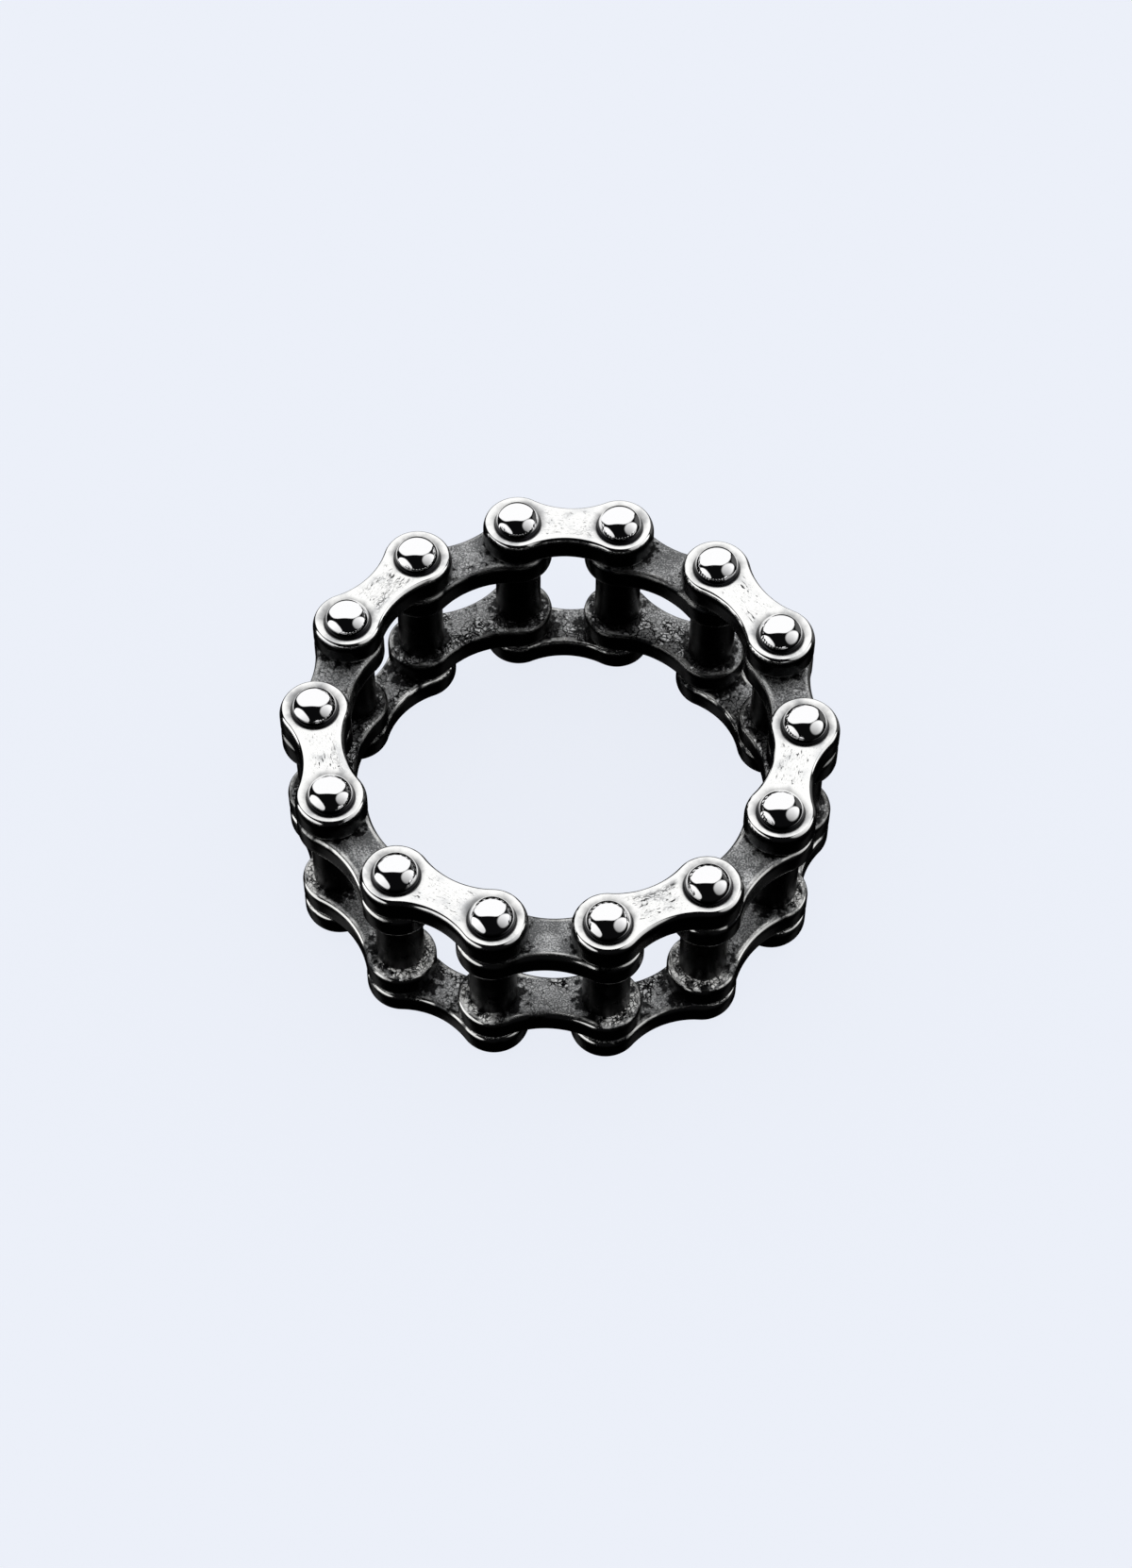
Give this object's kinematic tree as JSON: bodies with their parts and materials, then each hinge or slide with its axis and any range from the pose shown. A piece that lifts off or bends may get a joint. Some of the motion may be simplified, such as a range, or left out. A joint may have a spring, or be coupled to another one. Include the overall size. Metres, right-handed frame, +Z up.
{
  "type": "chain link ring",
  "caption": "Finger ring built as a closed roller chain: figure-eight link plates, rollers and domed rivets, lying on its side.",
  "frame": {"origin": "on the ring's axis, at the surface that the lower rivet heads rest on", "axes": "+Z up along the finger hole, +Y towards the middle of the first outer link, +X to the right of it"},
  "size_m": [0.0266, 0.026, 0.0117],
  "materials": {
    "polished_plate": "cast stainless steel, blackened, then polished bright on the outer face",
    "blackened_plate": "cast stainless steel, blackened, grey and grainy on its flat faces",
    "blackened_roller": "turned stainless steel, blackened, satin",
    "polished_rivet": "stainless steel, mirror polished head"
  },
  "bodies": {
    "root": {"outer_plate_top_1": "polished_plate", "outer_plate_top_2": "polished_plate", "outer_plate_top_3": "polished_plate", "outer_plate_top_4": "polished_plate", "outer_plate_top_5": "polished_plate", "outer_plate_top_6": "polished_plate", "outer_plate_top_7": "polished_plate", "outer_plate_bottom_1": "polished_plate", "outer_plate_bottom_2": "polished_plate", "outer_plate_bottom_3": "polished_plate", "outer_plate_bottom_4": "polished_plate", "outer_plate_bottom_5": "polished_plate", "outer_plate_bottom_6": "polished_plate", "outer_plate_bottom_7": "polished_plate", "inner_plate_top_1": "blackened_plate", "inner_plate_top_2": "blackened_plate", "inner_plate_top_3": "blackened_plate", "inner_plate_top_4": "blackened_plate", "inner_plate_top_5": "blackened_plate", "inner_plate_top_6": "blackened_plate", "inner_plate_top_7": "blackened_plate", "inner_plate_bottom_1": "blackened_plate", "inner_plate_bottom_2": "blackened_plate", "inner_plate_bottom_3": "blackened_plate", "inner_plate_bottom_4": "blackened_plate", "inner_plate_bottom_5": "blackened_plate", "inner_plate_bottom_6": "blackened_plate", "inner_plate_bottom_7": "blackened_plate", "roller_1": "blackened_roller", "roller_2": "blackened_roller", "roller_3": "blackened_roller", "roller_4": "blackened_roller", "roller_5": "blackened_roller", "roller_6": "blackened_roller", "roller_7": "blackened_roller", "roller_8": "blackened_roller", "roller_9": "blackened_roller", "roller_10": "blackened_roller", "roller_11": "blackened_roller", "roller_12": "blackened_roller", "roller_13": "blackened_roller", "roller_14": "blackened_roller", "rivet_1": "polished_rivet", "rivet_2": "polished_rivet", "rivet_3": "polished_rivet", "rivet_4": "polished_rivet", "rivet_5": "polished_rivet", "rivet_6": "polished_rivet", "rivet_7": "polished_rivet", "rivet_8": "polished_rivet", "rivet_9": "polished_rivet", "rivet_10": "polished_rivet", "rivet_11": "polished_rivet", "rivet_12": "polished_rivet", "rivet_13": "polished_rivet", "rivet_14": "polished_rivet"}
  },
  "joints": []
}
